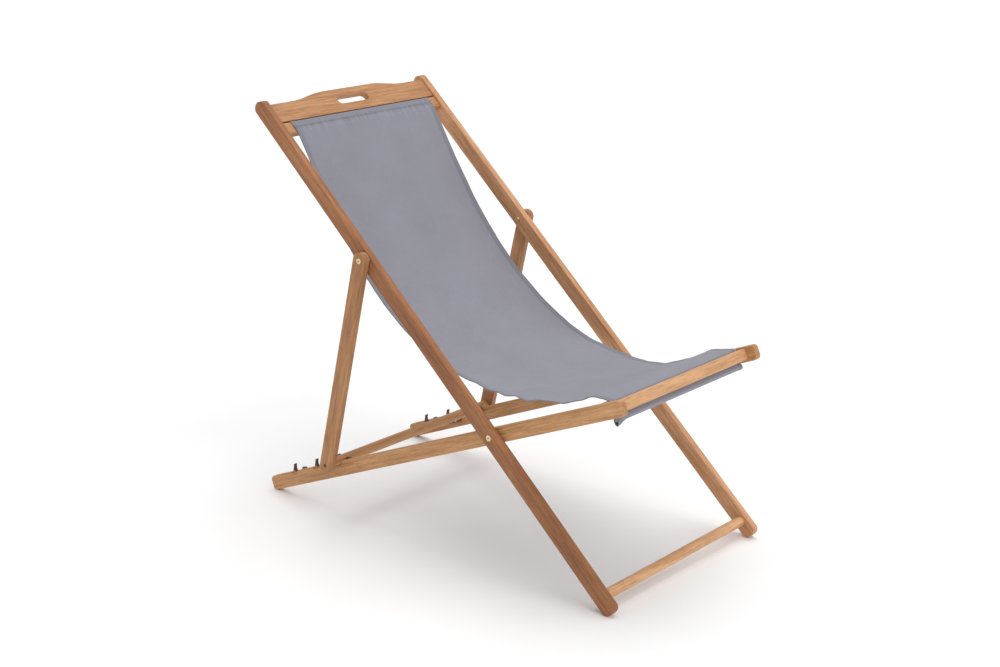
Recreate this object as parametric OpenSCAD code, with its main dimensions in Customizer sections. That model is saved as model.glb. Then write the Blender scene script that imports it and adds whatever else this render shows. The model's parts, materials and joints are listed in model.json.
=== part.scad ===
// Folding deck chair: three hinged hardwood frames with a cloth sling.
// Millimetres, +Z up, front towards -Y, +X is the sitter's left.

/* [Overall] */
// Width over the prop struts
chair_width = 600; // [480:5:720]
// Slope of the back rails above the floor, degrees
back_angle = 42.4; // [38:0.2:48]
// Slope of the seat rails above the floor, degrees
seat_angle = 22.5; // [19:0.5:26]

/* [Back frame] */
// Back rail from the main pivot to its head end
back_head = 984; // [820:2:1180]
// Back rail from the main pivot to its foot end
back_foot = 464.7; // [400:1:560]
// Back rail depth, seen from the side
back_deep = 38; // [30:1:48]
// Back rail thickness, across the chair
back_thick = 19; // [16:0.5:24]
// Rounding of the back rail's foot corners
foot_round = 16; // [4:1:18]
// Rounding along the long edges of every rail
edge_round = 2.5; // [1:0.5:4]
// Head board height, from its raised top to its bottom edge
board_high = 68.5; // [50:0.5:90]
// Head board thickness
board_thick = 16; // [12:1:20]
// How far the head board's face is behind the rails' front faces
board_set_back = 5; // [1:0.5:8]
// How far the raised middle stands above the shoulders
board_rise = 14; // [6:1:24]
// Top of the raised middle, below the rails' head ends
board_below_head = 5.5; // [2:0.5:12]
// Half width of the flat raised middle
board_mid = 80; // [50:5:120]
// Half width at the foot of the shoulders
board_shoulder = 190; // [150:5:220]
// Hand slot length, end to end
slot_long = 104; // [80:2:130]
// Hand slot height
slot_high = 24; // [18:1:30]
// Gap between head board and top sling rail, for the cloth
board_slit = 3.2; // [2.5:0.1:8]
// Top sling rail height
sling_rail_high = 33; // [20:1:36]
// Top sling rail thickness
sling_rail_thick = 17; // [12:1:22]
// Foot stretcher, distance of its centre from the foot end
stretcher_from_foot = 41.7; // [28:0.1:60]
// How far the stretcher's ends go into the rails
tenon_long = 11; // [6:1:14]

/* [Seat frame] */
// Seat rail from the main pivot to its front end
seat_front = 376; // [320:2:410]
// Seat rail depth, seen from the side
seat_deep = 36; // [30:1:44]
// Seat rail thickness, across the chair
seat_thick = 18; // [15:0.5:22]
// Rounding of the seat rail's end corners
seat_round = 10; // [4:1:14]
// Front bar: how far its face is behind the rails' front ends
bar_set_back = 24; // [14:1:36]
// Front bar thickness
bar_thick = 18; // [12:1:24]
// Front bar height
bar_high = 26; // [18:1:32]
// Front bar: how far its top is below the rails' top edges
bar_below_top = 4; // [1:0.5:8]
// Gap for the cloth between two bars
cloth_slit = 6; // [4:0.5:8]

/* [Prop frame] */
// Main pivot to prop pivot, along the back rail
prop_pivot = 507; // [440:1:580]
// Prop strut depth, seen from the side
prop_deep = 38; // [30:1:46]
// Prop strut thickness, across the chair
prop_thick = 18; // [15:0.5:22]
// Diameter of the two round dowels
dowel_d = 24; // [20:1:28]
// Main pivot to the notch in use, along the seat rail
notch_first = 538; // [480:1:580]
// Distance between notches
notch_pitch = 86; // [70:1:100]
// How deep a notch goes into the rail
notch_deep = 10.3; // [7:0.1:13]

/* [Sling] */
// Cloth width
sling_wide = 470; // [380:5:560]
// Deepest sag below a straight line from rail to rail
sling_sag = 216; // [160:5:260]
// Cloth thickness, two layers
cloth_thick = 1.2; // [0.8:0.1:2]
// Rods in the pockets, diameter
rod_d = 9.8; // [8:0.2:12]

/* [Hardware and fits] */
// Pivot bolt diameter
bolt_d = 6; // [5:0.5:8]
// Pivot bolt head diameter
bolt_head_d = 14; // [12:0.5:18]
// Washer thickness
washer_thick = 1.2; // [0.8:0.1:2]
// Play beside each part that turns
side_play = 0.3; // [0.3:0.05:0.8]
// Running play of a bolt in its turning rail, on the radius
pivot_play = 0.05; // [0.01:0.01:0.1]
// Play of the dowel above the bottom of its notch
notch_play = 0.3; // [0.3:0.1:1]
// Play of the dowel to each side of its notch
notch_side = 1.5; // [1:0.1:3]

/* [Hidden] */

wood_side = "#A87A56";
wood_pale = "#C49A6C";
metal = "#C0A868";
$fn = 64;

// Layers from the outside in: prop struts, back rails, seat rails
layer_gap = washer_thick + side_play;
prop_out = chair_width / 2;
prop_in = prop_out - prop_thick;
back_out = prop_in - layer_gap;
back_in = back_out - back_thick;
seat_out = back_in - layer_gap;
seat_in = seat_out - seat_thick;

// The back rail's foot corner stands on the floor and sets the pivot's height
pivot_z = (back_foot - foot_round) * sin(back_angle)
    + (back_deep / 2 - foot_round) * cos(back_angle) + foot_round;
// The seat rail is as long to the rear as it takes to reach the floor
seat_rear = (pivot_z - seat_round - (seat_deep / 2 - seat_round) * cos(seat_angle))
    / sin(seat_angle) + seat_round;

// Rearmost and foremost points about the main pivot, then the chair's middle
head_far = (back_head - back_deep / 2) * cos(back_angle) + back_deep / 2;
rear_far = (seat_rear - seat_round) * cos(seat_angle)
    + (seat_deep / 2 - seat_round) * sin(seat_angle) + seat_round;
foot_far = (back_foot - foot_round) * cos(back_angle)
    + (back_deep / 2 - foot_round) * sin(back_angle) + foot_round;
front_far = (seat_front - seat_round) * cos(seat_angle)
    + (seat_deep / 2 - seat_round) * sin(seat_angle) + seat_round;
pivot_y = (max(foot_far, front_far) - max(head_far, rear_far)) / 2;

// Points given along and square to a rail, both frames measured rearwards from the pivot
function back_point(t, n) = [t * cos(back_angle) - n * sin(back_angle),
    t * sin(back_angle) + n * cos(back_angle)];
function seat_point(t, n) = [t * cos(seat_angle) + n * sin(seat_angle),
    -t * sin(seat_angle) + n * cos(seat_angle)];

// The dowel's centre in the first notch, and the strut between it and the prop pivot
dowel_n = seat_deep / 2 - notch_deep + notch_play + dowel_d / 2;
dowel_at = seat_point(notch_first, dowel_n);
prop_at = back_point(prop_pivot, 0);
prop_run = dowel_at[0] - prop_at[0];
prop_drop = prop_at[1] - dowel_at[1];
prop_long = sqrt(prop_run * prop_run + prop_drop * prop_drop);
prop_angle = atan2(prop_drop, prop_run);
notch_r = dowel_d / 2 + notch_side;
notch_n = seat_deep / 2 - notch_deep + notch_r;

// Head board and top sling rail, measured along the back rail
board_face = back_deep / 2 - board_set_back;
board_top = back_head - board_below_head;
board_low = board_top - board_high;
slot_share = 0.51;
slot_t = board_low + board_high * slot_share;
sling_rail_top = board_low - board_slit;
sling_rail_low = sling_rail_top - sling_rail_high;
sling_rail_face = board_face - 0.5;
sling_rail_rear = sling_rail_face - sling_rail_thick;
stretcher_t = -(back_foot - stretcher_from_foot);

// Front bar, slit and front sling rail, measured along the seat rail (forwards is negative)
bar_face = -(seat_front - bar_set_back);
bar_back = bar_face + bar_thick;
inner_face = bar_back + cloth_slit;
inner_back = inner_face + bar_thick;
bar_top = seat_deep / 2 - bar_below_top;
bar_low = bar_top - bar_high;
slit_t = (bar_back + inner_face) / 2;

// Pocket loops about their rods
rod_r = rod_d / 2;
loop_in = rod_r + 0.1;
loop_out = loop_in + cloth_thick;
top_rod = [sling_rail_top + 2, sling_rail_rear - loop_out - 0.1];
front_rod = [slit_t, bar_low - loop_out - 6];
rod_short = 2;

// Cloth path: over the top sling rail, down in a free sag, over and down the front slit
lie = cloth_thick / 2 + 0.1;
top_front = sling_rail_face + lie;
top_over = sling_rail_top + lie;
// round the rail's top front edge, a little clear of it
fold_t = sling_rail_top - edge_round;
fold_n = sling_rail_face - edge_round;
fold_r = edge_round + lie;
path_top = concat([back_point(top_over, top_rod[1] + loop_in + 0.6 * cloth_thick)],
    [for (a = [0 : 15 : 90]) back_point(fold_t + fold_r * cos(a), fold_n + fold_r * sin(a))],
    [back_point((sling_rail_top + sling_rail_low) / 2, top_front + 0.1)]);
hang_from = back_point(sling_rail_low - 1, top_front + 0.2);
rail_over = seat_deep / 2;
hang_to = seat_point(inner_back + 43, rail_over + 14);
hang_run = hang_to - hang_from;
hang_long = norm(hang_run);
hang_side = [-hang_run[1], hang_run[0]] / hang_long;
// Share of the deepest sag at share t of the way: slow to leave the top, quick to rise in front
sag_start = 1.08;
sag_end = 0.8;
sag_peak = sag_start / (sag_start + sag_end);
function sag_raw(t) = pow(t, sag_start) * pow(1 - t, sag_end);
function sag(t) = sag_raw(t) / sag_raw(sag_peak);
sag_steps = 30;
path_sag = [for (i = [0 : sag_steps])
    let (t = (1 - cos(180 * i / sag_steps)) / 2)
    hang_from + hang_run * t + hang_side * (sling_sag * sag(t))];
// the cloth's height over the front sling rail, at distances from its rear face
path_front = concat([for (p = [[27, 12.5], [14, 9.5], [2, 5.5]])
        seat_point(inner_back + p[0], rail_over + p[1])],
    [for (p = [[10, 2.6], [2, 0.9]]) seat_point(inner_face + p[0], rail_over + p[1])],
    [for (p = [[1.1, -1], [0.2, -4.5], [0, -9]]) seat_point(slit_t + p[0], rail_over + p[1])],
    [seat_point(slit_t, front_rod[1] + loop_in + 0.5 * cloth_thick)]);
path = concat(path_top, path_sag, path_front);
path_n = len(path);
function unit(v) = v / norm(v);
function path_dir(i) = unit(path[min(i + 1, path_n - 1)] - path[max(i - 1, 0)]);
function path_side(i, d) = path[i] + d * [path_dir(i)[1], -path_dir(i)[0]];

// Placing: each frame has its own space, Y rearwards along its rails and Z square to them
module back_space() {
    translate([0, pivot_y, pivot_z])
    rotate([back_angle, 0, 0])
    children();
}
module seat_space() {
    translate([0, pivot_y, pivot_z])
    rotate([-seat_angle, 0, 0])
    children();
}
module prop_space() {
    translate([0, pivot_y + prop_at[0], pivot_z + prop_at[1]])
    rotate([-prop_angle, 0, 0])
    children();
}

// Extrudes a side view (Y, Z) across the chair
module across(x0, x1) {
    translate([x0, 0, 0])
    rotate([90, 0, 90])
    linear_extrude(x1 - x0)
    children();
}

// A plain bar or pin across the chair, centred at (y, z)
module pin(x0, x1, r, y = 0, z = 0, n = 48) {
    translate([x0, y, z])
    rotate([0, 90, 0])
    cylinder(h = x1 - x0, r = r, $fn = n);
}

// Side view of a rail with two rounded ends
module rail_side(y0, y1, h, r0, r1) {
    translate([y0 + r0, -h / 2])
    square([y1 - y0 - r0 - r1, h]);
    for (e = [[y0 + r0, r0], [y1 - r1, r1]]) {
        for (s = [-1, 1])
            translate([e[0], s * (h / 2 - e[1])])
            circle(r = e[1]);
        if (e[1] < h / 2)
            translate([e[0] - e[1], -(h / 2 - e[1])])
            square([2 * e[1], h - 2 * e[1]]);
    }
}

// Cross-section of a rail with rounded long edges
module rail_section(x0, x1, h, r) {
    translate([x0 + r, -h / 2])
    square([x1 - x0 - 2 * r, h]);
    translate([x0, -h / 2 + r])
    square([x1 - x0, h - 2 * r]);
    for (x = [x0 + r, x1 - r])
        for (z = [-h / 2 + r, h / 2 - r])
            translate([x, z])
            circle(r = r, $fn = 32);
}

// A rail along Y: its section carried along, trimmed to its side view
module rail(x0, x1, y0, y1, h, r0, r1, r) {
    intersection() {
        across(x0 - 1, x1 + 1)
        rail_side(y0, y1, h, r0, r1);
        translate([0, y0 - 1, 0])
        rotate([-90, 0, 0])
        linear_extrude(y1 - y0 + 2)
        rail_section(x0, x1, h, r);
    }
}

// A bar across the chair with rounded long edges, its section in Y and Z
module cross_bar(half, y0, y1, z0, z1, r) {
    across(-half, half)
    translate([0, (z0 + z1) / 2])
    rail_section(y0, y1, z1 - z0, r);
}

// Back frame

head_depth = 4;
bolt_r = bolt_d / 2;
bolt_head_high = 3.6;

// One back rail, drawn on the +X side
module back_rail() {
    difference() {
        rail(back_in, back_out, -back_foot, back_head, back_deep, foot_round,
            back_deep / 2, edge_round);
        // prop pivot hole
        pin(back_in - 1, back_out + 1, bolt_r, prop_pivot);
        // main pivot hole and the recess for its bolt head
        pin(back_in - 1, back_out + 1, bolt_r);
        pin(back_out - head_depth, back_out + 1, bolt_head_d / 2 + 1);
        // socket for the foot stretcher
        pin(back_in - 1, back_in + tenon_long, dowel_d / 2, stretcher_t);
    }
}
module back_rail_left() {
    color(wood_side)
    back_space()
    back_rail();
}
module back_rail_right() {
    color(wood_side)
    back_space()
    mirror([1, 0, 0])
    back_rail();
}

// Outline of the head board: a raised middle with ogee shoulders
shoulder_steps = 16;
shoulder = [for (i = [0 : shoulder_steps])
    [board_shoulder - (board_shoulder - board_mid) * i / shoulder_steps,
    board_top - board_rise * (1 + cos(180 * i / shoulder_steps)) / 2]];
shoulder_back = [for (i = [shoulder_steps : -1 : 0]) [-shoulder[i][0], shoulder[i][1]]];
module head_board() {
    color(wood_side)
    back_space()
    translate([0, 0, board_face - board_thick])
    difference() {
        linear_extrude(board_thick)
        polygon(concat([[-back_in, board_low], [back_in, board_low],
            [back_in, board_top - board_rise]], shoulder, shoulder_back,
            [[-back_in, board_top - board_rise]]));
        // hand slot
        translate([0, slot_t, -1])
        linear_extrude(board_thick + 2)
        union() {
            square([slot_long - slot_high, slot_high], center = true);
            for (s = [-1, 1])
                translate([s * (slot_long - slot_high) / 2, 0])
                circle(r = slot_high / 2);
        }
    }
}

module top_sling_rail() {
    color(wood_pale)
    back_space()
    cross_bar(back_in, sling_rail_low, sling_rail_top, sling_rail_rear, sling_rail_face,
        edge_round);
}

module foot_stretcher() {
    color(wood_pale)
    back_space()
    pin(-back_in - tenon_long, back_in + tenon_long, dowel_d / 2, stretcher_t);
}

module top_sling_rod() {
    color("#8A8A90")
    back_space()
    pin(-sling_wide / 2 + rod_short, sling_wide / 2 - rod_short, rod_r, top_rod[0], top_rod[1]);
}

// The cloth: one strip with a rod pocket at each end
module sling() {
    color("#8C8C95")
    difference() {
        union() {
            translate([0, pivot_y, pivot_z])
            across(-sling_wide / 2, sling_wide / 2)
            polygon(concat([for (i = [0 : path_n - 1]) path_side(i, cloth_thick / 2)],
                [for (i = [path_n - 1 : -1 : 0]) path_side(i, -cloth_thick / 2)]));
            back_space()
            pin(-sling_wide / 2, sling_wide / 2, loop_out, top_rod[0], top_rod[1]);
            seat_space()
            pin(-sling_wide / 2, sling_wide / 2, loop_out, front_rod[0], front_rod[1]);
        }
        back_space()
        pin(-sling_wide / 2 - 1, sling_wide / 2 + 1, loop_in, top_rod[0], top_rod[1]);
        seat_space()
        pin(-sling_wide / 2 - 1, sling_wide / 2 + 1, loop_in, front_rod[0], front_rod[1]);
    }
}

// Seat frame

// Clip: a plate on the rail's inner face with a tall rear finger and a short front stub
clip_thick = 7;
clip_rear = 22;
clip_front = 26;
clip_low = -4;
finger_top = 34;
finger_tip = 9.2;
stub_top = 22.5;
screw_r = 1.5;
screw_head_r = 2.8;
screw_high = 1.2;
screw_deep = 9;
screw_apart = 18;

// One seat rail, drawn on the +X side
module seat_rail() {
    difference() {
        rail(seat_in, seat_out, -seat_front, seat_rear, seat_deep, seat_round, seat_round,
            edge_round);
        pin(seat_in - 1, seat_out + 1, bolt_r + pivot_play);
        for (i = [0 : 2])
            pin(seat_in - 1, seat_out + 1, notch_r, notch_first + i * notch_pitch, notch_n);
        for (i = [0 : 2])
            for (s = [-0.5, 0.5])
                pin(seat_in - 1, seat_in + screw_deep, screw_r,
                    notch_first + i * notch_pitch + s * screw_apart, 0, 24);
    }
}
module seat_rail_left() {
    color(wood_pale)
    seat_space()
    seat_rail();
}
module seat_rail_right() {
    color(wood_pale)
    seat_space()
    mirror([1, 0, 0])
    seat_rail();
}

module front_bar() {
    color(wood_pale)
    seat_space()
    cross_bar(seat_in, bar_face, bar_back, bar_low, bar_top, edge_round);
}

module front_sling_rail() {
    color(wood_pale)
    seat_space()
    cross_bar(seat_in, inner_face, inner_back, bar_low, seat_deep / 2, edge_round);
}

module front_sling_rod() {
    color("#8A8A90")
    seat_space()
    pin(-sling_wide / 2 + rod_short, sling_wide / 2 - rod_short, rod_r, front_rod[0],
        front_rod[1]);
}

// Side view of one clip about its notch, rearwards positive
module clip_side() {
    difference() {
        polygon([[-clip_front, 2], [-clip_front + 6, clip_low],
            [clip_rear - 4, clip_low], [clip_rear, clip_low + 4],
            [clip_rear - 0.5, 20], [clip_rear - 6, finger_top - 6],
            [finger_tip + 4, finger_top], [finger_tip, finger_top],
            [finger_tip, finger_top - 2], [notch_r - 1, notch_n + 6.3],
            [notch_r, notch_n], [0, notch_n - notch_r / 2],
            [-notch_r - 1, notch_n - 2], [-notch_r - 1, stub_top - 0.5],
            [-clip_front + 3, stub_top - 1.5], [-clip_front, stub_top - 4.5]]);
        translate([0, notch_n])
        circle(r = notch_r);
    }
}
module notch_clips() {
    color("#4A322C")
    seat_space()
    for (m = [0, 1])
        mirror([m, 0, 0])
        for (i = [0 : 2])
            translate([0, notch_first + i * notch_pitch, 0])
            difference() {
                across(seat_in - clip_thick, seat_in)
                clip_side();
                for (s = [-0.5, 0.5])
                    pin(seat_in - clip_thick - 1, seat_in + 1, screw_r, s * screw_apart, 0, 24);
            }
}
module clip_screws() {
    color("#D8D8D0")
    seat_space()
    for (m = [0, 1])
        mirror([m, 0, 0])
        for (i = [0 : 2])
            for (s = [-0.5, 0.5])
                translate([seat_in - clip_thick, notch_first + i * notch_pitch
                    + s * screw_apart, 0])
                union() {
                    pin(-screw_high, 0, screw_head_r, 0, 0, 24);
                    pin(-0.5, clip_thick + screw_deep, screw_r, 0, 0, 24);
                }
}

// Prop frame

// One strut, drawn on the +X side: pivot at the origin, dowel at its far end
end_screw_r = 2;
end_head_r = 4.5;
end_head_high = 2.4;
end_deep = 3;
end_screw_long = 25;
module prop_strut() {
    difference() {
        rail(prop_in, prop_out, -prop_deep / 2, prop_long + prop_deep / 2, prop_deep,
            prop_deep / 2, prop_deep / 2, edge_round);
        pin(prop_in - 1, prop_out + 1, bolt_r + pivot_play);
        pin(prop_out - head_depth - side_play, prop_out + 1, bolt_head_d / 2 + 1);
        pin(prop_in - 1, prop_out + 1, end_screw_r, prop_long, 0, 24);
        pin(prop_out - end_deep, prop_out + 1, end_head_r + 0.6, prop_long, 0, 32);
    }
}
module prop_strut_left() {
    color(wood_side)
    prop_space()
    prop_strut();
}
module prop_strut_right() {
    color(wood_side)
    prop_space()
    mirror([1, 0, 0])
    prop_strut();
}

module prop_dowel() {
    color(wood_pale)
    prop_space()
    difference() {
        pin(-prop_in, prop_in, dowel_d / 2, prop_long);
        for (s = [-1, 1])
            pin(s * prop_in - end_screw_long, s * prop_in + end_screw_long, end_screw_r,
                prop_long, 0, 24);
    }
}

module dowel_screws() {
    color("#6E675C")
    prop_space()
    for (m = [0, 1])
        mirror([m, 0, 0])
        difference() {
            union() {
                pin(prop_in - end_screw_long, prop_out - end_deep + 1, end_screw_r,
                    prop_long, 0, 24);
                pin(prop_out - end_deep, prop_out - end_deep + end_head_high, end_head_r,
                    prop_long, 0, 32);
            }
            pin(prop_out - end_deep + 0.6, prop_out + 1, 1.7, prop_long, 0, 6);
        }
}

// Pivot hardware, drawn on the +X side and mirrored

nut_long = 5;
nut_r = 5.6;
washer_r = 9;
socket_r = 2.9;

// A socket-head bolt whose head's outer face is at x1 and whose end is at x0
module bolt(x0, x1) {
    difference() {
        union() {
            pin(x0, x1 - 1, bolt_r);
            pin(x1 - bolt_head_high, x1, bolt_head_d / 2);
        }
        pin(x1 - 2.4, x1 + 1, socket_r, 0, 0, 6);
    }
}

// A domed nut on a face at x, pointing inwards, the bolt's end inside it
module nut(x, end) {
    difference() {
        union() {
            pin(x - nut_long / 2, x, nut_r, 0, 0, 6);
            intersection() {
                translate([x - nut_long / 2 + 1, 0, 0])
                sphere(r = nut_r * 0.8);
                translate([x - nut_long, -nut_r, -nut_r])
                cube([nut_long - 0.5, 2 * nut_r, 2 * nut_r]);
            }
        }
        pin(end, x + 1, bolt_r);
    }
}

module washer(x) {
    difference() {
        pin(x, x + washer_thick, washer_r);
        pin(x - 1, x + washer_thick + 1, bolt_r + 0.3);
    }
}

head_in = head_depth - bolt_head_high;
main_end = seat_in - side_play - 3;
prop_end = back_in - 3;

module main_pivot_bolts() {
    color(metal)
    back_space()
    for (m = [0, 1])
        mirror([m, 0, 0])
        bolt(main_end, back_out - head_in);
}
module main_pivot_nuts() {
    color(metal)
    back_space()
    for (m = [0, 1])
        mirror([m, 0, 0])
        nut(seat_in - side_play, main_end);
}
module main_pivot_washers() {
    color(metal)
    back_space()
    for (m = [0, 1])
        mirror([m, 0, 0])
        washer(seat_out + side_play);
}
module prop_pivot_bolts() {
    color(metal)
    back_space()
    for (m = [0, 1])
        mirror([m, 0, 0])
        translate([0, prop_pivot, 0])
        bolt(prop_end, prop_out - head_in);
}
module prop_pivot_nuts() {
    color(metal)
    back_space()
    for (m = [0, 1])
        mirror([m, 0, 0])
        translate([0, prop_pivot, 0])
        nut(back_in, prop_end);
}
module prop_pivot_washers() {
    color(metal)
    back_space()
    for (m = [0, 1])
        mirror([m, 0, 0])
        translate([0, prop_pivot, 0])
        washer(back_out);
}

back_rail_left();
back_rail_right();
head_board();
top_sling_rail();
foot_stretcher();
top_sling_rod();
sling();
seat_rail_left();
seat_rail_right();
front_bar();
front_sling_rail();
front_sling_rod();
notch_clips();
clip_screws();
prop_strut_left();
prop_strut_right();
prop_dowel();
dowel_screws();
main_pivot_bolts();
main_pivot_nuts();
main_pivot_washers();
prop_pivot_bolts();
prop_pivot_nuts();
prop_pivot_washers();
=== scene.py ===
import json
import math
import bpy
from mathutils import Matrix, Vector, noise


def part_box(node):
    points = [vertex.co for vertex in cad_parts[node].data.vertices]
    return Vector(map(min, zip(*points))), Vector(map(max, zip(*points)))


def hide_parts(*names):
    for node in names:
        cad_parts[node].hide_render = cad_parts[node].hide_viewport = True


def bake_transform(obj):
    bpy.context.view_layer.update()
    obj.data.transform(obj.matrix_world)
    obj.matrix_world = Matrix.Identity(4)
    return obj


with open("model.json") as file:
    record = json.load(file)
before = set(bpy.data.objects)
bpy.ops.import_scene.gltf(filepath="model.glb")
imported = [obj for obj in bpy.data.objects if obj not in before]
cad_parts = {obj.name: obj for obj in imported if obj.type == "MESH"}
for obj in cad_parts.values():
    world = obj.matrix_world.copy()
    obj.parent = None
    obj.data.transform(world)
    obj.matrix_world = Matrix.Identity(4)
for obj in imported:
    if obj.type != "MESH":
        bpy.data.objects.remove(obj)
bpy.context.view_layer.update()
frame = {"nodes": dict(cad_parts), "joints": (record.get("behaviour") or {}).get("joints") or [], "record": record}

# Folding deck chair: oiled hardwood frames, brass bolts, dark steel clips and a hung cloth sling.
# Metres. X across the chair, front towards -Y, +Z up. Left is the sitter's left hand, +X.

print("Stage 1: places from the frame")

jointPlace = {joint["name"]: Vector(joint["pos_m"]) for joint in frame["joints"]}
mainPivot = jointPlace["seat_fold"]
propPivot = jointPlace["prop_swing"]
mountAxis = {mount["name"]: Vector(mount["axis"]) for mount in frame["record"]["mounts"]}
# along each pair of rails, and square to them
backNormal = mountAxis["head_board_face"].normalized()           # forwards
backAlong = Vector((0, backNormal.z, -backNormal.y))             # up the back rails
seatAlong = -mountAxis["front_bar_face"].normalized()            # down the seat rails, rearwards
seatNormal = Vector((0, -seatAlong.z, seatAlong.y))              # upwards


def middle(nodeName):
    low, high = (Vector(corner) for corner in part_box(nodeName))
    return (low + high) / 2


def onRail(point, along, normal):
    # how far a point is along a rail from the main pivot, and square to it
    return (point - mainPivot).dot(along), (point - mainPivot).dot(normal)


def fromRail(along, normal, far, off, across=0.0):
    return mainPivot + along * far + normal * off + Vector((across, 0, 0))


strutAlong = (middle("prop_dowel") - propPivot).normalized()
slopes = {"back": math.atan2(backAlong.z, backAlong.y),
          "seat": math.atan2(seatAlong.z, seatAlong.y),
          "prop": math.atan2(strutAlong.z, strutAlong.y)}


# Helpers for colours and shader nodes

def linear(hexColour):
    shares = [int(hexColour[i:i + 2], 16) / 255 for i in (1, 3, 5)]
    return tuple(s / 12.92 if s <= 0.04045 else ((s + 0.055) / 1.055) ** 2.4
                 for s in shares) + (1.0,)


def node(tree, kind, inputs=None, **settings):
    made = tree.nodes.new("ShaderNode" + kind)
    for name, value in settings.items():
        setattr(made, name, value)
    for name, value in (inputs or {}).items():
        if isinstance(value, bpy.types.NodeSocket):
            tree.links.new(value, made.inputs[name])
        else:
            made.inputs[name].default_value = value
    return made


def ramp(tree, source, stops):
    made = node(tree, "ValToRGB", {"Fac": source})
    parts = made.color_ramp.elements
    while len(parts) < len(stops):
        parts.new(0.5)
    for part, (place, colour) in zip(parts, stops):
        part.position = place
        part.color = linear(colour) if isinstance(colour, str) else (colour, colour, colour, 1)
    return made.outputs["Color"]


def newMaterial(name, **sockets):
    material = bpy.data.materials.new(name)
    material.use_nodes = True
    tree = material.node_tree
    shader = tree.nodes["Principled BSDF"]
    for key, value in sockets.items():
        shader.inputs[key.replace("_", " ")].default_value = value
    return material, tree, shader


# Materials

print("Stage 2: materials")

woodLook = {
    "streakWidth": 0.0042,   # width of one fine streak across the grain
    "streakLong": 24,        # how much longer than wide the streaks are
    "bandWidth": 0.026,      # soft bands of tone behind the streaks
    "bandLong": 12,
    "poreWidth": 0.0013,     # open pores, drawn a little coarse so that they show
    "poreLong": 22,
    "poreDepth": 0.00025,
    "roughness": 0.52,
}


def grainNoise(tree, vector, width, long, detail, distortion=0.0):
    # noise drawn out along Y
    drawn = node(tree, "Mapping", {"Vector": vector, "Scale": (1, 1 / long, 1)})
    return node(tree, "TexNoise", {"Vector": drawn.outputs["Vector"], "Scale": 1 / width,
                                   "Detail": detail, "Roughness": 0.62,
                                   "Distortion": distortion}).outputs["Fac"]


def oiledHardwood(name, grain, light, mid, dark, seed):
    # Eucalyptus, planed, sanded and oiled: satin, with fine streaks, soft bands and dark pores
    material, tree, shader = newMaterial(name, Roughness=woodLook["roughness"], IOR=1.4)
    place = node(tree, "TexCoord")
    # turned so that Y runs along the grain
    turn = {"back": (-slopes["back"], 0, 0), "seat": (-slopes["seat"], 0, 0),
            "prop": (-slopes["prop"], 0, 0), "across": (0, 0, math.radians(90))}[grain]
    local = node(tree, "Mapping", {"Vector": place.outputs["Object"], "Rotation": turn,
                                   "Location": (seed, seed * 0.7, seed * 1.3)}).outputs["Vector"]
    streaks = grainNoise(tree, local, woodLook["streakWidth"], woodLook["streakLong"], 5.0, 0.1)
    bands = grainNoise(tree, local, woodLook["bandWidth"], woodLook["bandLong"], 2.0, 0.2)
    mixed = node(tree, "Mix", {"Factor": 0.42, "A": streaks, "B": bands})
    tone = ramp(tree, mixed.outputs["Result"], [(0.36, dark), (0.5, mid), (0.63, light)])
    pores = grainNoise(tree, local, woodLook["poreWidth"], woodLook["poreLong"], 2.0)
    poreMask = ramp(tree, pores, [(0.36, 0.0), (0.5, 1.0)])
    streaked = node(tree, "Mix", {"Factor": 0.26, "A": tone, "B": poreMask},
                    data_type="RGBA", blend_type="MULTIPLY")
    # end grain soaks up more oil, so it is darker
    turned = node(tree, "Mapping", {"Vector": place.outputs["Normal"], "Rotation": turn})
    axes = node(tree, "SeparateXYZ", {"Vector": turned.outputs["Vector"]})
    endOn = node(tree, "Math", {0: axes.outputs["Y"]}, operation="ABSOLUTE")
    endMask = node(tree, "MapRange", {"Value": endOn.outputs[0], "From Min": 0.55, "From Max": 0.95,
                                      "To Min": 0.0, "To Max": 0.35})
    ended = node(tree, "Mix", {"Factor": endMask.outputs["Result"], "A": streaked.outputs["Result"],
                               "B": linear(dark)}, data_type="RGBA")
    tree.links.new(ended.outputs["Result"], shader.inputs["Base Color"])
    rough = node(tree, "MapRange", {"Value": streaks, "From Min": 0.3, "From Max": 0.7,
                                    "To Min": woodLook["roughness"] - 0.07,
                                    "To Max": woodLook["roughness"] + 0.08})
    tree.links.new(rough.outputs["Result"], shader.inputs["Roughness"])
    bump = node(tree, "Bump", {"Height": poreMask, "Strength": 0.35,
                               "Distance": woodLook["poreDepth"]})
    tree.links.new(bump.outputs["Normal"], shader.inputs["Normal"])
    return material


clothLook = {
    "thread": 0.0011,      # thread spacing, drawn about twice the real one so that it shows
    "gather": 0.008,       # width of one gather below the top seam
    "colour": "#9797A2",
    "shade": "#92929C",
    "fleck": "#A9A8B4",
    # dark thread colour of the stitches, also used as painted shade in the gather dips, on the hems and over the
    # top pocket band
    "stitchAndShade": "#5E5E6A",
    "mottle": 9.0,         # patches to a metre
    "slubs": 700.0,        # thick threads to a metre, drawn long by slubLong
    "slubLong": 0.08,
    "gatherLong": 0.03,
}


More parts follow.
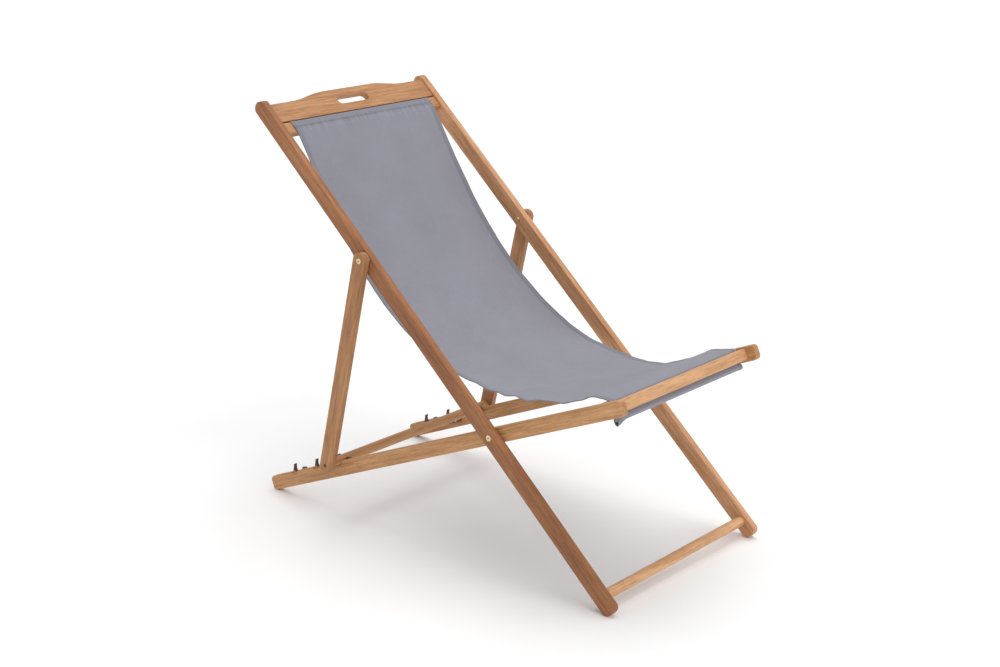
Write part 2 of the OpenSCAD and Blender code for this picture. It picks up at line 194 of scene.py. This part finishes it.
def wovenCanvas():
    # Piece-dyed polyester canvas, plain weave: matt, with a soft sheen at the edge and slubs
    material, tree, shader = newMaterial("wovenCanvas", Roughness=0.86, IOR=1.45)
    shader.inputs["Sheen Weight"].default_value = 0.12
    shader.inputs["Sheen Roughness"].default_value = 0.5
    flat = node(tree, "UVMap", uv_map="clothFlat")
    inMetres = flat.outputs["UV"]
    threads = []
    threadScale = 0.5 / clothLook["thread"] / 1.59     # a wave texture has 3.18 bands to a unit
    for way in ("X", "Y"):
        threads.append(node(tree, "TexWave", {"Vector": inMetres, "Scale": threadScale,
                                              "Distortion": 0.6, "Detail": 1.0},
                            wave_type="BANDS", bands_direction=way))
    weave = node(tree, "Math", {0: threads[0].outputs["Fac"], 1: threads[1].outputs["Fac"]},
                 operation="MULTIPLY")
    drawn = node(tree, "Mapping", {"Vector": inMetres, "Scale": (1, clothLook["slubLong"], 1)})
    slubs = node(tree, "TexNoise", {"Vector": drawn.outputs["Vector"],
                                    "Scale": clothLook["slubs"], "Detail": 3.0})
    mottle = node(tree, "TexNoise", {"Vector": inMetres, "Scale": clothLook["mottle"],
                                     "Detail": 4.0})
    base = ramp(tree, mottle.outputs["Fac"],
                [(0.3, clothLook["shade"]), (0.62, clothLook["colour"])])
    slubMask = ramp(tree, slubs.outputs["Fac"], [(0.5, 0.0), (0.72, 0.35)])
    flecked = node(tree, "Mix", {"Factor": slubMask, "A": base,
                                 "B": linear(clothLook["fleck"])}, data_type="RGBA")
    woven = node(tree, "Mix", {"Factor": 0.16, "A": flecked.outputs["Result"],
                               "B": weave.outputs[0]}, data_type="RGBA", blend_type="MULTIPLY")
    # the stitches draw the cloth below them into short gathers that run down the cloth; painted shade darkens the
    # dips between the gathers
    pulled = node(tree, "Mapping", {"Vector": inMetres, "Scale": (1, clothLook["gatherLong"], 1)})
    ripples = node(tree, "TexNoise", {"Vector": pulled.outputs["Vector"],
                                      "Scale": 1 / clothLook["gather"], "Detail": 1.5})
    gathered = node(tree, "Attribute", attribute_name="gathers")
    rippleHeight = node(tree, "Math", {0: ripples.outputs["Fac"], 1: gathered.outputs["Fac"]},
                        operation="MULTIPLY")
    hollowShadeMask = ramp(tree, ripples.outputs["Fac"], [(0.4, 1.0), (0.58, 0.0)])
    paintedHollowShade = node(tree, "Math", {0: hollowShadeMask, 1: gathered.outputs["Fac"]},
                   operation="MULTIPLY")
    shaded = node(tree, "Mix", {"Factor": paintedHollowShade.outputs[0], "A": woven.outputs["Result"],
                                "B": linear(clothLook["stitchAndShade"])}, data_type="RGBA")
    # this attribute is strongest along each line of stitches, and also carries painted shade: low over the hems
    # and over the top pocket band in the head board's shadow
    stitchesAndShade = node(tree, "Attribute", attribute_name="stitchesAndShade")
    stitchedAndShaded = node(tree, "Mix", {"Factor": stitchesAndShade.outputs["Fac"], "A": shaded.outputs["Result"],
                                  "B": linear(clothLook["stitchAndShade"])}, data_type="RGBA")
    tree.links.new(stitchedAndShaded.outputs["Result"], shader.inputs["Base Color"])
    wide = node(tree, "Bump", {"Height": rippleHeight.outputs[0], "Strength": 1.0,
                               "Distance": 0.004})
    fine = node(tree, "Bump", {"Height": weave.outputs[0], "Strength": 0.5, "Distance": 0.0003,
                               "Normal": wide.outputs["Normal"]})
    tree.links.new(fine.outputs["Normal"], shader.inputs["Normal"])
    return material


def metal(name, colour, roughness, grime):
    # Turned or plated metal with fine scratches and a little grime where it was handled
    material, tree, shader = newMaterial(name, Metallic=1.0)
    place = node(tree, "TexCoord")
    scratches = node(tree, "TexNoise", {"Vector": place.outputs["Object"], "Scale": 900.0,
                                        "Detail": 3.0})
    patches = node(tree, "TexNoise", {"Vector": place.outputs["Object"], "Scale": 160.0,
                                      "Detail": 2.0})
    patchMask = ramp(tree, patches.outputs["Fac"], [(0.4, 0.0), (0.75, 0.6)])
    shade = node(tree, "Mix", {"Factor": patchMask, "A": linear(colour), "B": linear(grime)},
                 data_type="RGBA")
    tree.links.new(shade.outputs["Result"], shader.inputs["Base Color"])
    rough = node(tree, "MapRange", {"Value": scratches.outputs["Fac"], "From Min": 0.3,
                                    "From Max": 0.7, "To Min": roughness - 0.06,
                                    "To Max": roughness + 0.1})
    tree.links.new(rough.outputs["Result"], shader.inputs["Roughness"])
    return material


def powderCoat(name, colour, edge):
    # Powder-coated steel: even satin skin with fine orange peel
    material, tree, shader = newMaterial(name, Roughness=0.45, IOR=1.5)
    place = node(tree, "TexCoord")
    peel = node(tree, "TexNoise", {"Vector": place.outputs["Object"], "Scale": 650.0,
                                   "Detail": 2.0})
    tint = ramp(tree, peel.outputs["Fac"], [(0.35, colour), (0.7, edge)])
    tree.links.new(tint, shader.inputs["Base Color"])
    bump = node(tree, "Bump", {"Height": peel.outputs["Fac"], "Strength": 0.3, "Distance": 0.0002})
    tree.links.new(bump.outputs["Normal"], shader.inputs["Normal"])
    return material


# wood colours, each as light, middle and dark
reddish = ("#B47B52", "#A06A43", "#865536")
golden = ("#CE9C6E", "#BC875A", "#A27048")
honey = ("#D6A474", "#C4905F", "#A8784D")
tan = ("#C29064", "#AF7C52", "#956742")
pale = ("#EABB91", "#DAA77A", "#C29063")
# a lighter wood tone for the left back rail only: painted light, standing in for the floor bounce and front light
# it catches; the right back rail keeps the plain reddish tone
paintedLightRail = ("#DDAA82", "#CB9468", "#AE7C56")
materialOf = {
    "back_rail_left": oiledHardwood("oiledHardwoodBackLeftPaintedLight", "back", *paintedLightRail, 0.31),
    "back_rail_right": oiledHardwood("oiledHardwoodBackRight", "back", *reddish, 1.13),
    "head_board": oiledHardwood("oiledHardwoodBoard", "across", *golden, 2.47),
    "top_sling_rail": oiledHardwood("oiledHardwoodSlingRail", "across", *golden, 3.19),
    "foot_stretcher": oiledHardwood("oiledHardwoodStretcher", "across", *pale, 4.03),
    "seat_rail_left": oiledHardwood("oiledHardwoodSeatLeft", "seat", *honey, 5.71),
    "seat_rail_right": oiledHardwood("oiledHardwoodSeatRight", "seat", *honey, 6.37),
    "front_bar": oiledHardwood("oiledHardwoodFrontBar", "across", *pale, 7.91),
    "front_sling_rail": oiledHardwood("oiledHardwoodInnerBar", "across", *pale, 8.23),
    "prop_strut_left": oiledHardwood("oiledHardwoodPropLeft", "prop", *tan, 9.41),
    "prop_strut_right": oiledHardwood("oiledHardwoodPropRight", "prop", *tan, 10.17),
    "prop_dowel": oiledHardwood("oiledHardwoodPropDowel", "across", *honey, 11.83),
}
canvas = wovenCanvas()
brass = metal("turnedBrass", "#E6D6A6", 0.34, "#B49B66")
steel = metal("platedSteel", "#D9D8D2", 0.25, "#9A9890")
dullSteel = metal("dulledSteel", "#7E6A4E", 0.42, "#4A3C2C")
darkClip = powderCoat("brownPowderCoat", "#4C302A", "#63423A")
greyRod = powderCoat("greyPowderCoat", "#8C8C90", "#9A9A9E")
for hardware in ("main_pivot", "prop_pivot"):
    for kind in ("bolts", "nuts", "washers"):
        materialOf[hardware + "_" + kind] = brass
materialOf["clip_screws"] = steel
materialOf["dowel_screws"] = dullSteel
materialOf["notch_clips"] = darkClip
materialOf["top_sling_rod"] = greyRod
materialOf["front_sling_rod"] = greyRod


def dress(piece, material):
    piece.data.materials.clear()
    piece.data.materials.append(material)


for nodeName, material in materialOf.items():
    shown = frame["nodes"][nodeName]
    for holder in shown.material_slots:
        holder.material = material


# The sling

print("Stage 3: the sling")

slingCut = {
    "wide": 0.470,
    "sag": 0.216,            # deepest sag below a straight line, at the middle of the cloth
    # how much more the left edge hangs than the middle, and the right edge less, down the cloth
    "skew": ((0, 0), (0.45, 0), (0.6, 0.005), (0.7, 0.010), (0.8, 0.013), (0.87, 0.018),
             (0.92, 0.018), (0.96, 0.012), (1, 0.004)),
    "thick": 0.0009,
    "hemThick": 0.0022,
    "hemWide": 0.012,
    "pocketSeam": 0.016,     # stitch line of the top pocket, below the fold
    "loopRadius": 0.0057,    # cloth about each pocket rod
    "lift": 0.0012,          # middle of the cloth above the wood it lies on
    "droop": 0.008,          # open end of the front pocket, hanging past its rod
    "rows": (26, 112, 40),   # top pocket and fold, free part, front fold and pocket
    "columns": 50,
}
railHigh, railThick = 0.033, 0.017    # the top sling rail, along and square to the back rails
seatHalf = 0.018                      # half the depth of a seat rail
sagStart, sagEnd = 1.08, 0.8          # slow to leave the top, quick to rise in front
sagPeak = sagStart / (sagStart + sagEnd)


def sagShare(share):
    def raw(t):
        return t ** sagStart * (1 - t) ** sagEnd
    return raw(share) / raw(sagPeak)


def skewAt(share):
    for (a, low), (b, high) in zip(slingCut["skew"], slingCut["skew"][1:]):
        if share <= b:
            t = (share - a) / (b - a)
            return low + (high - low) * t * t * (3 - 2 * t)
    return slingCut["skew"][-1][1]


def arcPoints(centre, radius, fromDegrees, toDegrees, steps):
    turns = [math.radians(fromDegrees + (toDegrees - fromDegrees) * i / steps)
             for i in range(steps + 1)]
    return [(centre[0] + radius * math.cos(a), centre[1] + radius * math.sin(a)) for a in turns]


topRail = onRail(middle("top_sling_rail"), backAlong, backNormal)
topRod = onRail(middle("top_sling_rod"), backAlong, backNormal)
frontBar = onRail(middle("front_bar"), seatAlong, seatNormal)
innerBar = onRail(middle("front_sling_rail"), seatAlong, seatNormal)
frontRod = onRail(middle("front_sling_rod"), seatAlong, seatNormal)
overTop = topRail[0] + railHigh / 2 + slingCut["lift"]
onFace = topRail[1] + railThick / 2 + slingCut["lift"]


def clothPath(side):
    # one line of the cloth from its top pocket to its front pocket, as points in the Y-Z plane;
    # side runs from -1 at the right-hand edge to 1 at the left
    fold = 0.0025 + slingCut["lift"]
    top = arcPoints(topRod, slingCut["loopRadius"], 74, -254, 18)
    top += [(overTop, topRail[1] - railThick / 2), (overTop, topRail[1])]
    top += arcPoints((overTop - fold, onFace - fold), fold, 0, 90, 4)
    top += [(topRail[0], onFace + 0.0001), (topRail[0] - railHigh / 2 - 0.001, onFace + 0.0002)]
    line = [fromRail(backAlong, backNormal, *p) for p in top]
    topEnd = len(line) - 1
    start = line[-1]
    end = fromRail(seatAlong, seatNormal, innerBar[0] + 0.052, seatHalf + 0.014)
    run = end - start
    down = Vector((0, -run.z, run.y)).normalized()
    if down.z > 0:
        down = -down
    steps = 60
    for i in range(1, steps + 1):
        t = (1 - math.cos(math.pi * i / steps)) / 2
        deep = slingCut["sag"] * sagShare(min(t, 1.0)) + side * skewAt(t)
        line.append(start + run * t + down * deep)
    slit = frontRod[0]
    over = seatHalf + slingCut["lift"]
    tip = side * 0.004
    front = [(innerBar[0] + 0.036, over + 0.0120 - tip), (innerBar[0] + 0.022, over + 0.0090 - tip),
             (innerBar[0] + 0.010, over + 0.0056 - 0.6 * tip),
             (innerBar[0] + 0.001, over + 0.0030 - 0.4 * tip),
             (innerBar[0] - 0.007, over + 0.0008), (slit + 0.0028, over - 0.0006),
             (slit + 0.0008, over - 0.003), (slit + 0.0001, over - 0.007), (slit, over - 0.012),
             (slit, frontBar[1]), (slit - 0.0002, frontRod[1] + 0.0125)]
    front += arcPoints(frontRod, slingCut["loopRadius"], 140, 398, 16)
    front += [(slit + 0.0014, frontRod[1] + 0.0118)]
    line += [fromRail(seatAlong, seatNormal, *p) for p in front]
    return line, topEnd, topEnd + steps


def walk(line, marks):
    # the points at given distances along a line
    lengths = [0.0]
    for a, b in zip(line, line[1:]):
        lengths.append(lengths[-1] + (b - a).length)
    points, k = [], 0
    for want in marks(lengths):
        while k < len(line) - 2 and lengths[k + 1] < want:
            k += 1
        share = (want - lengths[k]) / max(lengths[k + 1] - lengths[k], 1e-9)
        points.append((want, line[k].lerp(line[k + 1], min(max(share, 0), 1))))
    return points, lengths


def deselectAll():
    if bpy.context.object and bpy.context.object.mode != "OBJECT":
        bpy.ops.object.mode_set(mode="OBJECT")
    bpy.ops.object.select_all(action="DESELECT")


def columnPlaces():
    # hem edges get columns of their own
    wide, hem, count = slingCut["wide"], slingCut["hemWide"], slingCut["columns"]
    inner = hem + 0.002
    places = [0.0, hem / 2, hem]
    places += [inner + (wide - 2 * inner) * i / (count - 6) for i in range(count - 5)]
    places += [wide - hem, wide - hem / 2, wide]
    return places


def makeSling():
    topRows, freeRows, _ = slingCut["rows"]
    rows, columns = sum(slingCut["rows"]), slingCut["columns"]
    places = columnPlaces()
    lines = []
    for place in places:
        side = place / slingCut["wide"] * 2 - 1
        line, topEnd, frontStart = clothPath(side)

        def marks(lengths, topEnd=topEnd, frontStart=frontStart):
            stops = (0.0, lengths[topEnd], lengths[frontStart], lengths[-1])
            wanted = [0.0]
            for low, high, count in zip(stops, stops[1:], slingCut["rows"]):
                wanted += [low + (high - low) * (i + 1) / count for i in range(count)]
            return wanted

        points, lengths = walk(line, marks)
        lines.append((points, lengths[topEnd], lengths[frontStart], lengths[-1]))
    deselectAll()
    bpy.ops.mesh.primitive_grid_add(x_subdivisions=columns, y_subdivisions=rows, size=1)
    sheet = bpy.context.object
    sheet.name = "sling_cloth"
    mesh = sheet.data
    flat = mesh.uv_layers.active
    flat.name = "clothFlat"
    onCloth = {}
    pins = sheet.vertex_groups.new(name="pins")
    for vertex in mesh.vertices:
        column = round((vertex.co.x + 0.5) * columns)
        row = round((vertex.co.y + 0.5) * rows)
        far, point = lines[column][0][row]
        onCloth[vertex.index] = (places[column], far)
        held = row <= topRows or row >= topRows + freeRows
        pins.add([vertex.index], 1.0 if held else slingHang["hold"], "REPLACE")
        vertex.co = (places[column] - slingCut["wide"] / 2, point.y, point.z)
    for loop in mesh.loops:
        flat.data[loop.index].uv = onCloth[loop.vertex_index]
    return sheet, lines[columns // 2]


slingHang = {
    "hold": 0.12,            # how firmly the free cloth is drawn to its measured line
    "mass": 0.00003,         # of one mesh point, so that the whole cloth is about 0.3 kg
    "stretch": 60,
    "bend": 4,
    "frames": 36,
}


def hangSling(sheet):
    # gravity settles the free part of the cloth between its two pinned ends
    started = [vertex.co.copy() for vertex in sheet.data.vertices]
    cloth = sheet.modifiers.new("cloth", "CLOTH")
    settings = cloth.settings
    settings.quality = 8
    settings.mass = slingHang["mass"]
    settings.tension_stiffness = slingHang["stretch"]
    settings.compression_stiffness = slingHang["stretch"]
    settings.shear_stiffness = slingHang["stretch"] / 2
    settings.bending_stiffness = slingHang["bend"]
    settings.tension_damping = 15
    settings.compression_damping = 15
    settings.air_damping = 3
    settings.vertex_group_mass = "pins"
    cloth.collision_settings.use_collision = False
    cloth.collision_settings.use_self_collision = False
    scene = bpy.context.scene
    scene.frame_start, scene.frame_end = 1, slingHang["frames"]
    cloth.point_cache.frame_end = slingHang["frames"]
    for step in range(1, slingHang["frames"] + 1):
        scene.frame_set(step)
    deselectAll()
    sheet.select_set(True)
    bpy.context.view_layer.objects.active = sheet
    bpy.ops.object.modifier_apply(modifier="cloth")
    scene.frame_set(1)
    moves = [(vertex.co - before).length for vertex, before in zip(sheet.data.vertices, started)]
    print("  cloth settled: mean move", round(sum(moves) / len(moves) * 1000, 2), "mm, most",
          round(max(moves) * 1000, 2), "mm")


def applyModifier(piece, kind, name, **settings):
    made = piece.modifiers.new(name, kind)
    for key, value in settings.items():
        setattr(made, key, value)
    deselectAll()
    piece.select_set(True)
    bpy.context.view_layer.objects.active = piece
    bpy.ops.object.modifier_apply(modifier=name)


def flatPlaces(mesh):
    # each vertex's place on the flat cloth, in metres
    flat = mesh.uv_layers["clothFlat"].data
    where = {}
    for loop in mesh.loops:
        where[loop.vertex_index] = flat[loop.index].uv.copy()
    return where


waves = {
    "soft": 0.0014,          # slow waviness over the free cloth
    "edgeBack": 0.001,       # waviness near the edges, over the back
    "edgeSeat": 0.005,       # and added to it over the seat
    "edgeReach": 0.045,
    "seatFrom": 0.75,        # where the seat begins, down the cloth
    "curl": 0.0022,
    "stitchPull": 0.0007,
}


def finishSling(sheet, middleLine):
    applyModifier(sheet, "SUBSURF", "smooth", levels=1, render_levels=1)
    mesh = sheet.data
    where = flatPlaces(mesh)
    wide, hem = slingCut["wide"], slingCut["hemWide"]
    _, topAt, frontAt, _ = middleLine
    seamAt = topAt - railHigh + slingCut["pocketSeam"]
    thick = sheet.vertex_groups.new(name="thick")
    stitchesAndShade = mesh.attributes.new("stitchesAndShade", "FLOAT", "POINT")
    gathers = mesh.attributes.new("gathers", "FLOAT", "POINT")
    normals = [vertex.normal.copy() for vertex in mesh.vertices]
    share = slingCut["thick"] / slingCut["hemThick"]
    for vertex in mesh.vertices:
        across, down = where[vertex.index]
        fromEdge = min(across, wide - across)
        below = down - seamAt
        # how free the cloth is to move: none where it lies on wood
        free = min(1.0, max(0.0, (down - topAt) / 0.12))
        free *= min(1.0, max(0.0, (frontAt - down) / 0.09))
        # cloth that carries little load keeps a soft waviness, more near its edges
        edge = math.exp(-fromEdge / waves["edgeReach"])
        lift = free * waves["soft"] * noise.noise(Vector((across * 9, down * 6, 3.1)))
        inSeat = min(1.0, max(0.0, (down - waves["seatFrom"]) / 0.12))
        ripple = noise.noise(Vector((across * 4, down * 26, 8.7)))
        lift += free * edge * (waves["edgeBack"] + waves["edgeSeat"] * inSeat) * ripple
        lift -= free * waves["curl"] * math.exp(-fromEdge / 0.006)       # hems curl down
        lift -= waves["stitchPull"] * math.exp(-(below / 0.003) ** 2)    # at the stitches
        vertex.co += normals[vertex.index] * lift
        # the pocket's open right-hand end droops past its rod
        _, n = onRail(vertex.co, seatAlong, seatNormal)
        if down > frontAt and n < frontRod[1] + slingCut["loopRadius"]:
            loop = slingCut["loopRadius"]
            low = min(1.0, (frontRod[1] + loop - n) / (2 * loop))
            vertex.co -= seatNormal * slingCut["droop"] * low * max(0.0, 1 - across / 0.032)
        isHem = fromEdge < hem + 0.0008
        thick.add([vertex.index], 1.0 if isHem else share, "REPLACE")
        stitchAndShade = math.exp(-((fromEdge - hem) / 0.0018) ** 2) * 0.4
        stitchAndShade = max(stitchAndShade, math.exp(-(below / 0.0028) ** 2) * 0.45)
        # painted shadow: the top pocket band is darkened where the head board shades it
        if topAt - railHigh - 0.012 < down < seamAt:
            stitchAndShade = max(stitchAndShade, 0.24)
        # painted shade: the hems are kept darker, as if in shade
        stitchesAndShade.data[vertex.index].value = max(stitchAndShade, 0.26 if isHem else 0.0)
        gathers.data[vertex.index].value = 0.5 * (math.exp(-below / 0.014) if below > 0
                                                   else math.exp(below / 0.003))
    applyModifier(sheet, "SOLIDIFY", "thickness", thickness=slingCut["hemThick"], offset=0.0,
                  vertex_group="thick", use_even_offset=True)
    deselectAll()
    sheet.select_set(True)
    bpy.context.view_layer.objects.active = sheet
    bpy.ops.object.shade_smooth_by_angle(angle=math.radians(50))
    dress(sheet, canvas)


sling, slingMiddle = makeSling()
hangSling(sling)
finishSling(sling, slingMiddle)
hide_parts("sling")
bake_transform(sling)


# Floor, light and camera

print("Stage 4: floor, light and camera")

studio = {
    "floor": "#FFFFFF",
    "floorShade": "#FCFCFC",
    "world": 0.56,
    "key": 1.35,
    "keyFrom": (0.40, 0.22, 1.2),    # overhead, a little behind
    "fill": 0.85,
    "fillFrom": (-0.15, -1.0, 0.75),
    "soft": 55,                      # degrees across, as wide as large soft boxes
}

deselectAll()
bpy.ops.mesh.primitive_plane_add(size=120, location=(0, 0, -0.0005))
floor = bpy.context.object
floor.name = "studio_floor"
floorMaterial, floorTree, floorShader = newMaterial("paintedFloor", Roughness=0.9)
floorPlace = node(floorTree, "TexCoord")
floorNoise = node(floorTree, "TexNoise", {"Vector": floorPlace.outputs["Object"], "Scale": 3.0,
                                          "Detail": 3.0})
floorTone = ramp(floorTree, floorNoise.outputs["Fac"],
                 [(0.3, studio["floorShade"]), (0.7, studio["floor"])])
floorTree.links.new(floorTone, floorShader.inputs["Base Color"])
dress(floor, floorMaterial)

world = bpy.data.worlds.new("studio")
bpy.context.scene.world = world
world.use_nodes = True
world.node_tree.nodes["Background"].inputs["Color"].default_value = (1, 1, 1, 1)
world.node_tree.nodes["Background"].inputs["Strength"].default_value = studio["world"]


def softSun(name, power, comesFrom):
    bpy.ops.object.light_add(type="SUN", location=Vector(comesFrom) * 3)
    lamp = bpy.context.object
    lamp.name = name
    lamp.data.energy = power
    lamp.data.angle = math.radians(studio["soft"])
    lamp.rotation_euler = Vector(comesFrom).to_track_quat("Z", "Y").to_euler()


softSun("key", studio["key"], studio["keyFrom"])
softSun("fill", studio["fill"], studio["fillFrom"])
bpy.context.scene.view_settings.view_transform = "Standard"

cameraView = {
    "azimuth": -49.35,       # 0 looks along +Y
    "elevation": 14.93,
    "distance": 3.9586,
    "aim": (-0.0311, -0.0436, 0.6282),
    "lens": 61.62,           # on a 36 mm wide sensor
    "shiftX": -0.009,
    "shiftY": -0.0642,
}
turn, rise = math.radians(cameraView["azimuth"]), math.radians(cameraView["elevation"])
backwards = Vector((math.sin(turn) * math.cos(rise), -math.cos(turn) * math.cos(rise),
                    math.sin(rise)))
cameraData = bpy.data.cameras.new("camera")
cameraData.sensor_width = 36
cameraData.lens = cameraView["lens"]
cameraData.shift_x, cameraData.shift_y = cameraView["shiftX"], cameraView["shiftY"]
camera = bpy.data.objects.new("camera", cameraData)
bpy.context.collection.objects.link(camera)
camera.location = Vector(cameraView["aim"]) + backwards * cameraView["distance"]
camera.rotation_euler = (math.pi / 2 - rise, 0, turn)
bpy.context.scene.camera = camera
